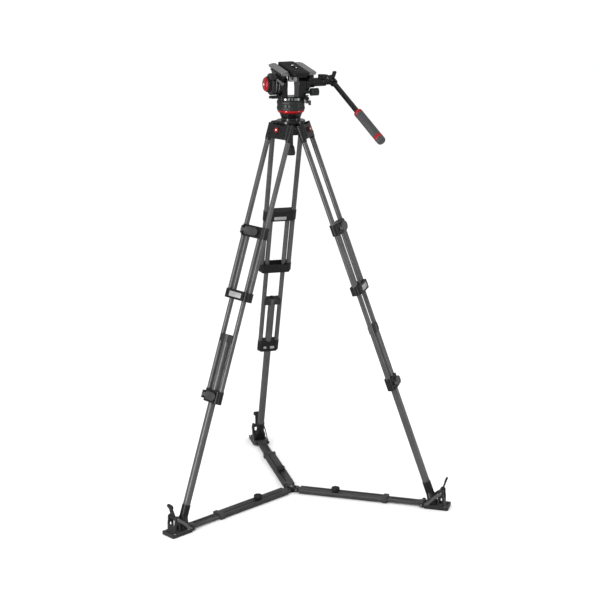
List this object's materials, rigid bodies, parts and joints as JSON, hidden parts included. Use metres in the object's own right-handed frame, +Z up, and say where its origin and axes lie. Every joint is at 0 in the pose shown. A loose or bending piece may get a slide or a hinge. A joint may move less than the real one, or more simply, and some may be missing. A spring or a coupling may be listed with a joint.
{
  "type": "tripod with fluid head",
  "caption": "Video tripod with twin-tube telescoping legs, a ground spreader with foot plates, and a levelling bowl that carries a fluid head with a sliding camera plate and pan bar.",
  "frame": {"origin": "on the ground under the pan axis, at the middle of the pad under the spreader's centre piece", "axes": "+Z up along the pan axis; +Y is the way the head and its camera plate face; +X to the right hand of somebody behind the head"},
  "size_m": [1.1577, 1.0618, 1.74],
  "materials": {
    "casting": "satin black",
    "carbon": "woven carbon fibre under satin lacquer",
    "rubber": "matt moulded",
    "silver": "satin anodised",
    "red": "satin red",
    "grey": "dark grey anodised",
    "arm_plastic": "fibre filled, satin",
    "black_plastic": "moulded, fine grain",
    "steel": "turned"
  },
  "bodies": {
    "bowl": {"bowl_casting": "casting"},
    "levelling": {"half_ball": "casting", "head_base": "casting"},
    "tie_down_knob": {"tie_down_knob": "black_plastic"},
    "drag_ring": {"pan_drag_ring": "grey"},
    "pan": {"pan_body": "casting"},
    "pan_lock": {"pan_lock_lever": "silver"},
    "cradle": {"tilt_cradle": "casting", "bridge_wedges": "silver"},
    "tilt_dial": {"tilt_drag_dial": "grey"},
    "counterbalance": {"counterbalance_dial": "red"},
    "tilt_lock": {"tilt_lock_lever": "silver"},
    "tilt_knob": {"tilt_lock_knob": "black_plastic"},
    "plate": {"sliding_plate": "casting", "camera_studs": "steel"},
    "plate_knob": {"plate_lock_knob": "grey"},
    "button": {"release_button": "grey"},
    "bar": {"pan_bar_clamp": "casting", "pan_bar_and_grip": "carbon"},
    "clamp": {"clamp_lever": "casting"},
    "hub": {"spreader_hub": "casting"},
    "leg_a": {"upper_tubes_a": "carbon", "upper_castings_a": "casting"},
    "mid_a": {"mid_tubes_a": "carbon", "mid_castings_a": "casting"},
    "low_a": {"lower_tube_a": "carbon", "spiked_foot_a": "casting"},
    "upper_lock_a": {"upper_lever_a": "black_plastic"},
    "lower_lock_a": {"lower_lever_a": "black_plastic"},
    "outer_a": {"outer_arm_a": "arm_plastic"},
    "inner_a": {"inner_arm_a": "arm_plastic"},
    "arm_lock_a": {"arm_knob_a": "black_plastic"},
    "foot_a": {"foot_plate_a": "rubber"},
    "strap_a": {"foot_lever_a": "black_plastic"},
    "leg_b": {"upper_tubes_b": "carbon", "upper_castings_b": "casting"},
    "mid_b": {"mid_tubes_b": "carbon", "mid_castings_b": "casting"},
    "low_b": {"lower_tube_b": "carbon", "spiked_foot_b": "casting"},
    "upper_lock_b": {"upper_lever_b": "black_plastic"},
    "lower_lock_b": {"lower_lever_b": "black_plastic"},
    "outer_b": {"outer_arm_b": "arm_plastic"},
    "inner_b": {"inner_arm_b": "arm_plastic"},
    "arm_lock_b": {"arm_knob_b": "black_plastic"},
    "foot_b": {"foot_plate_b": "rubber"},
    "strap_b": {"foot_lever_b": "black_plastic"},
    "leg_c": {"upper_tubes_c": "carbon", "upper_castings_c": "casting"},
    "mid_c": {"mid_tubes_c": "carbon", "mid_castings_c": "casting"},
    "low_c": {"lower_tube_c": "carbon", "spiked_foot_c": "casting"},
    "upper_lock_c": {"upper_lever_c": "black_plastic"},
    "lower_lock_c": {"lower_lever_c": "black_plastic"},
    "outer_c": {"outer_arm_c": "arm_plastic"},
    "inner_c": {"inner_arm_c": "arm_plastic"},
    "arm_lock_c": {"arm_knob_c": "black_plastic"},
    "foot_c": {"foot_plate_c": "rubber"},
    "strap_c": {"foot_lever_c": "black_plastic"}
  },
  "joints": [
    {"name": "levelling", "type": "hinge", "parent": "bowl", "child": "levelling", "pos_m": [0, 0, 1.525], "axis": [1, 0, 0], "range_deg": [-10, 10]},
    {"name": "tie_down_turn", "type": "hinge", "parent": "levelling", "child": "tie_down_knob", "pos_m": [0, 0, 1.43], "axis": [0, 0, 1], "range_deg": [0, 340]},
    {"name": "pan", "type": "hinge", "parent": "levelling", "child": "pan", "pos_m": [0, 0, 1.6], "axis": [0, 0, 1], "continuous": true},
    {"name": "pan_drag", "type": "hinge", "parent": "levelling", "child": "drag_ring", "pos_m": [0, 0, 1.583], "axis": [0, 0, 1], "range_deg": [-140, 140]},
    {"name": "pan_lock", "type": "hinge", "parent": "pan", "child": "pan_lock", "pos_m": [0.051, -0.038, 1.6], "axis": [0, 0, 1], "range_deg": [0, 60]},
    {"name": "tilt", "type": "hinge", "parent": "pan", "child": "cradle", "pos_m": [0, 0, 1.664], "axis": [1, 0, 0], "range_deg": [-70, 50]},
    {"name": "tilt_drag", "type": "hinge", "parent": "cradle", "child": "tilt_dial", "pos_m": [-0.079, 0, 1.664], "axis": [1, 0, 0], "range_deg": [-120, 120]},
    {"name": "counterbalance_turn", "type": "hinge", "parent": "cradle", "child": "counterbalance", "pos_m": [-0.095, 0, 1.664], "axis": [1, 0, 0], "range_deg": [-150, 150]},
    {"name": "tilt_lock", "type": "hinge", "parent": "cradle", "child": "tilt_lock", "pos_m": [-0.053, -0.04116, 1.67104], "axis": [0, 0.9925, 0.1219], "range_deg": [-70, 0]},
    {"name": "tilt_knob_turn", "type": "hinge", "parent": "pan", "child": "tilt_knob", "pos_m": [0.087, -0.022, 1.63], "axis": [1, 0, 0], "range_deg": [0, 270]},
    {"name": "plate_slide", "type": "slide", "parent": "cradle", "child": "plate", "axis": [0, 0.9925, 0.1219], "range_m": [-0.02, 0.06]},
    {"name": "plate_lock_turn", "type": "hinge", "parent": "cradle", "child": "plate_knob", "pos_m": [-0.08, -0.04198, 1.69411], "axis": [1, 0, 0], "range_deg": [0, 180]},
    {"name": "release_press", "type": "slide", "parent": "cradle", "child": "button", "axis": [0, 0.9925, 0.1219], "range_m": [0, 0.003], "stiffness_N_per_m": 300, "springref_m": -0.001},
    {"name": "bar_angle", "type": "hinge", "parent": "cradle", "child": "bar", "pos_m": [0.085, 0, 1.664], "axis": [1, 0, 0], "range_deg": [-60, 20]},
    {"name": "clamp_turn", "type": "hinge", "parent": "bar", "child": "clamp", "pos_m": [0.15985, -0.03433, 1.68759], "axis": [0.0924, -0.4666, 0.8796], "range_deg": [-120, 120]},
    {"name": "hub_rise", "type": "slide", "parent": "bowl", "child": "hub", "axis": [0, 0, 1], "range_m": [0, 0.235]},
    {"name": "leg_a_fold", "type": "hinge", "parent": "bowl", "child": "leg_a", "pos_m": [0.00499, 0.0496, 1.49615], "axis": [0.995, -0.1002, 0], "range_deg": [-14, 0]},
    {"name": "mid_a_slide", "type": "slide", "parent": "leg_a", "child": "mid_a", "axis": [0.0342, 0.3392, -0.9401], "range_m": [-0.33, 0]},
    {"name": "low_a_slide", "type": "slide", "parent": "mid_a", "child": "low_a", "axis": [0.0342, 0.3392, -0.9401], "range_m": [-0.35, 0]},
    {"name": "upper_lock_a_flip", "type": "hinge", "parent": "mid_a", "child": "upper_lock_a", "pos_m": [0.06921, 0.20825, 1.12226], "axis": [0.0342, 0.3392, -0.9401], "range_deg": [0, 100]},
    {"name": "lower_lock_a_flip", "type": "hinge", "parent": "mid_a", "child": "lower_lock_a", "pos_m": [0.07749, 0.43019, 0.51388], "axis": [0.0342, 0.3392, -0.9401], "range_deg": [0, 100]},
    {"name": "outer_a_fold", "type": "hinge", "parent": "hub", "child": "outer_a", "pos_m": [0.0024, 0.02388, 0.012], "axis": [0.995, -0.1002, 0], "range_deg": [-66, 0]},
    {"name": "inner_a_slide", "type": "slide", "parent": "outer_a", "child": "inner_a", "axis": [0.1002, 0.995, 0], "range_m": [-0.1237, 0]},
    {"name": "arm_a_lock_turn", "type": "hinge", "parent": "outer_a", "child": "arm_lock_a", "pos_m": [0.01863, 0.18506, 0.02], "axis": [0, 0, 1], "range_deg": [0, 270]},
    {"name": "foot_a_fold", "type": "hinge", "parent": "inner_a", "child": "foot_a", "pos_m": [0.0546, 0.54226, 0.012], "axis": [0.995, -0.1002, 0], "range_deg": [0, 52]},
    {"name": "strap_a_flip", "type": "hinge", "parent": "foot_a", "child": "strap_a", "pos_m": [0.06232, 0.61887, 0.068], "axis": [-0.995, 0.1002, 0], "range_deg": [0, 50]},
    {"name": "leg_b_fold", "type": "hinge", "parent": "bowl", "child": "leg_b", "pos_m": [-0.04545, -0.02047, 1.49615], "axis": [-0.4107, 0.9118, 0], "range_deg": [-14, 0]},
    {"name": "mid_b_slide", "type": "slide", "parent": "leg_b", "child": "mid_b", "axis": [-0.3108, -0.14, -0.9401], "range_m": [-0.33, 0]},
    {"name": "low_b_slide", "type": "slide", "parent": "mid_b", "child": "low_b", "axis": [-0.3108, -0.14, -0.9401], "range_m": [-0.35, 0]},
    {"name": "upper_lock_b_flip", "type": "hinge", "parent": "mid_b", "child": "upper_lock_b", "pos_m": [-0.21496, -0.04419, 1.12226], "axis": [-0.3108, -0.14, -0.9401], "range_deg": [0, 100]},
    {"name": "lower_lock_b_flip", "type": "hinge", "parent": "mid_b", "child": "lower_lock_b", "pos_m": [-0.4113, -0.14799, 0.51388], "axis": [-0.3108, -0.14, -0.9401], "range_deg": [0, 100]},
    {"name": "outer_b_fold", "type": "hinge", "parent": "hub", "child": "outer_b", "pos_m": [-0.02188, -0.00986, 0.012], "axis": [-0.4107, 0.9118, 0], "range_deg": [-66, 0]},
    {"name": "inner_b_slide", "type": "slide", "parent": "outer_b", "child": "inner_b", "axis": [-0.9118, -0.4107, 0], "range_m": [-0.1237, 0]},
    {"name": "arm_b_lock_turn", "type": "hinge", "parent": "outer_b", "child": "arm_lock_b", "pos_m": [-0.16959, -0.07639, 0.02], "axis": [0, 0, 1], "range_deg": [0, 270]},
    {"name": "foot_b_fold", "type": "hinge", "parent": "inner_b", "child": "foot_b", "pos_m": [-0.49691, -0.22384, 0.012], "axis": [-0.4107, 0.9118, 0], "range_deg": [0, 52]},
    {"name": "strap_b_flip", "type": "hinge", "parent": "foot_b", "child": "strap_b", "pos_m": [-0.56712, -0.25547, 0.068], "axis": [0.4107, -0.9118, 0], "range_deg": [0, 50]},
    {"name": "leg_c_fold", "type": "hinge", "parent": "bowl", "child": "leg_c", "pos_m": [0.04046, -0.02912, 1.49615], "axis": [-0.5842, -0.8116, 0], "range_deg": [-14, 0]},
    {"name": "mid_c_slide", "type": "slide", "parent": "leg_c", "child": "mid_c", "axis": [0.2766, -0.1992, -0.9401], "range_m": [-0.33, 0]},
    {"name": "low_c_slide", "type": "slide", "parent": "mid_c", "child": "low_c", "axis": [0.2766, -0.1992, -0.9401], "range_m": [-0.35, 0]},
    {"name": "upper_lock_c_flip", "type": "hinge", "parent": "mid_c", "child": "upper_lock_c", "pos_m": [0.14574, -0.16407, 1.12226], "axis": [0.2766, -0.1992, -0.9401], "range_deg": [0, 100]},
    {"name": "lower_lock_c_flip", "type": "hinge", "parent": "mid_c", "child": "lower_lock_c", "pos_m": [0.33381, -0.28221, 0.51388], "axis": [0.2766, -0.1992, -0.9401], "range_deg": [0, 100]},
    {"name": "outer_c_fold", "type": "hinge", "parent": "hub", "child": "outer_c", "pos_m": [0.01948, -0.01402, 0.012], "axis": [-0.5842, -0.8116, 0], "range_deg": [-66, 0]},
    {"name": "inner_c_slide", "type": "slide", "parent": "outer_c", "child": "inner_c", "axis": [0.8116, -0.5842, 0], "range_m": [-0.1237, 0]},
    {"name": "arm_c_lock_turn", "type": "hinge", "parent": "outer_c", "child": "arm_lock_c", "pos_m": [0.15095, -0.10867, 0.02], "axis": [0, 0, 1], "range_deg": [0, 270]},
    {"name": "foot_c_fold", "type": "hinge", "parent": "inner_c", "child": "foot_c", "pos_m": [0.44231, -0.31842, 0.012], "axis": [-0.5842, -0.8116, 0], "range_deg": [0, 52]},
    {"name": "strap_c_flip", "type": "hinge", "parent": "foot_c", "child": "strap_c", "pos_m": [0.5048, -0.3634, 0.068], "axis": [0.5842, 0.8116, 0], "range_deg": [0, 50]}
  ],
  "couplings": [
    {"joint": "hub_rise", "follows": "leg_a_fold", "m_per_rad": -0.9614},
    {"joint": "outer_a_fold", "follows": "leg_a_fold", "ratio": 4.6965},
    {"joint": "inner_a_slide", "follows": "leg_a_fold", "m_per_rad": 0.50555},
    {"joint": "foot_a_fold", "follows": "leg_a_fold", "ratio": -3.6965},
    {"joint": "leg_b_fold", "follows": "leg_a_fold", "ratio": 1},
    {"joint": "outer_b_fold", "follows": "leg_a_fold", "ratio": 4.6965},
    {"joint": "inner_b_slide", "follows": "leg_a_fold", "m_per_rad": 0.50555},
    {"joint": "foot_b_fold", "follows": "leg_a_fold", "ratio": -3.6965},
    {"joint": "leg_c_fold", "follows": "leg_a_fold", "ratio": 1},
    {"joint": "outer_c_fold", "follows": "leg_a_fold", "ratio": 4.6965},
    {"joint": "inner_c_slide", "follows": "leg_a_fold", "m_per_rad": 0.50555},
    {"joint": "foot_c_fold", "follows": "leg_a_fold", "ratio": -3.6965}
  ]
}
